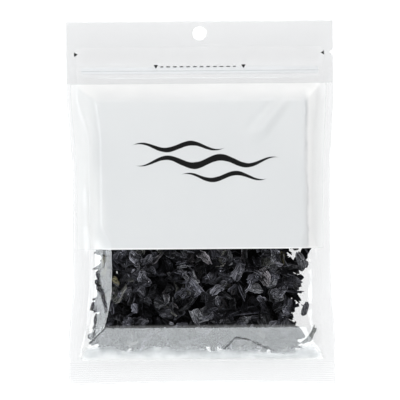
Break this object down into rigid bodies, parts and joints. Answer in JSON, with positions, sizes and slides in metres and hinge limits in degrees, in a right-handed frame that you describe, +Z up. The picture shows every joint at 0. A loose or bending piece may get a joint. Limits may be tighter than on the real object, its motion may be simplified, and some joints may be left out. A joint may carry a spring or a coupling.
{
  "type": "pouch of dried cut wakame",
  "caption": "Flat clear zip pouch filled with dark curled flakes of dried wakame, with a plain white front panel, a clear window, a hang hole and a tear notch.",
  "frame": {"origin": "under the middle of the pouch, on the surface that it lies on", "axes": "+X towards the pouch's right as its front is read, +Y towards its top with the hang hole, +Z up out of the printed front"},
  "size_m": [0.16, 0.218, 0.0176],
  "materials": {
    "front_film": "glossy clear film with a white printed panel",
    "back_film": "glossy clear film",
    "zip_track": "milky polyethylene",
    "zip_rail": "milky polyethylene",
    "wakame": "dry, wrinkled blue-black leaf"
  },
  "bodies": {
    "root": {"front_film": "front_film", "back_film": "back_film", "zip_track": "zip_track", "zip_rail": "zip_rail", "wakame_flakes": "wakame"}
  },
  "joints": []
}
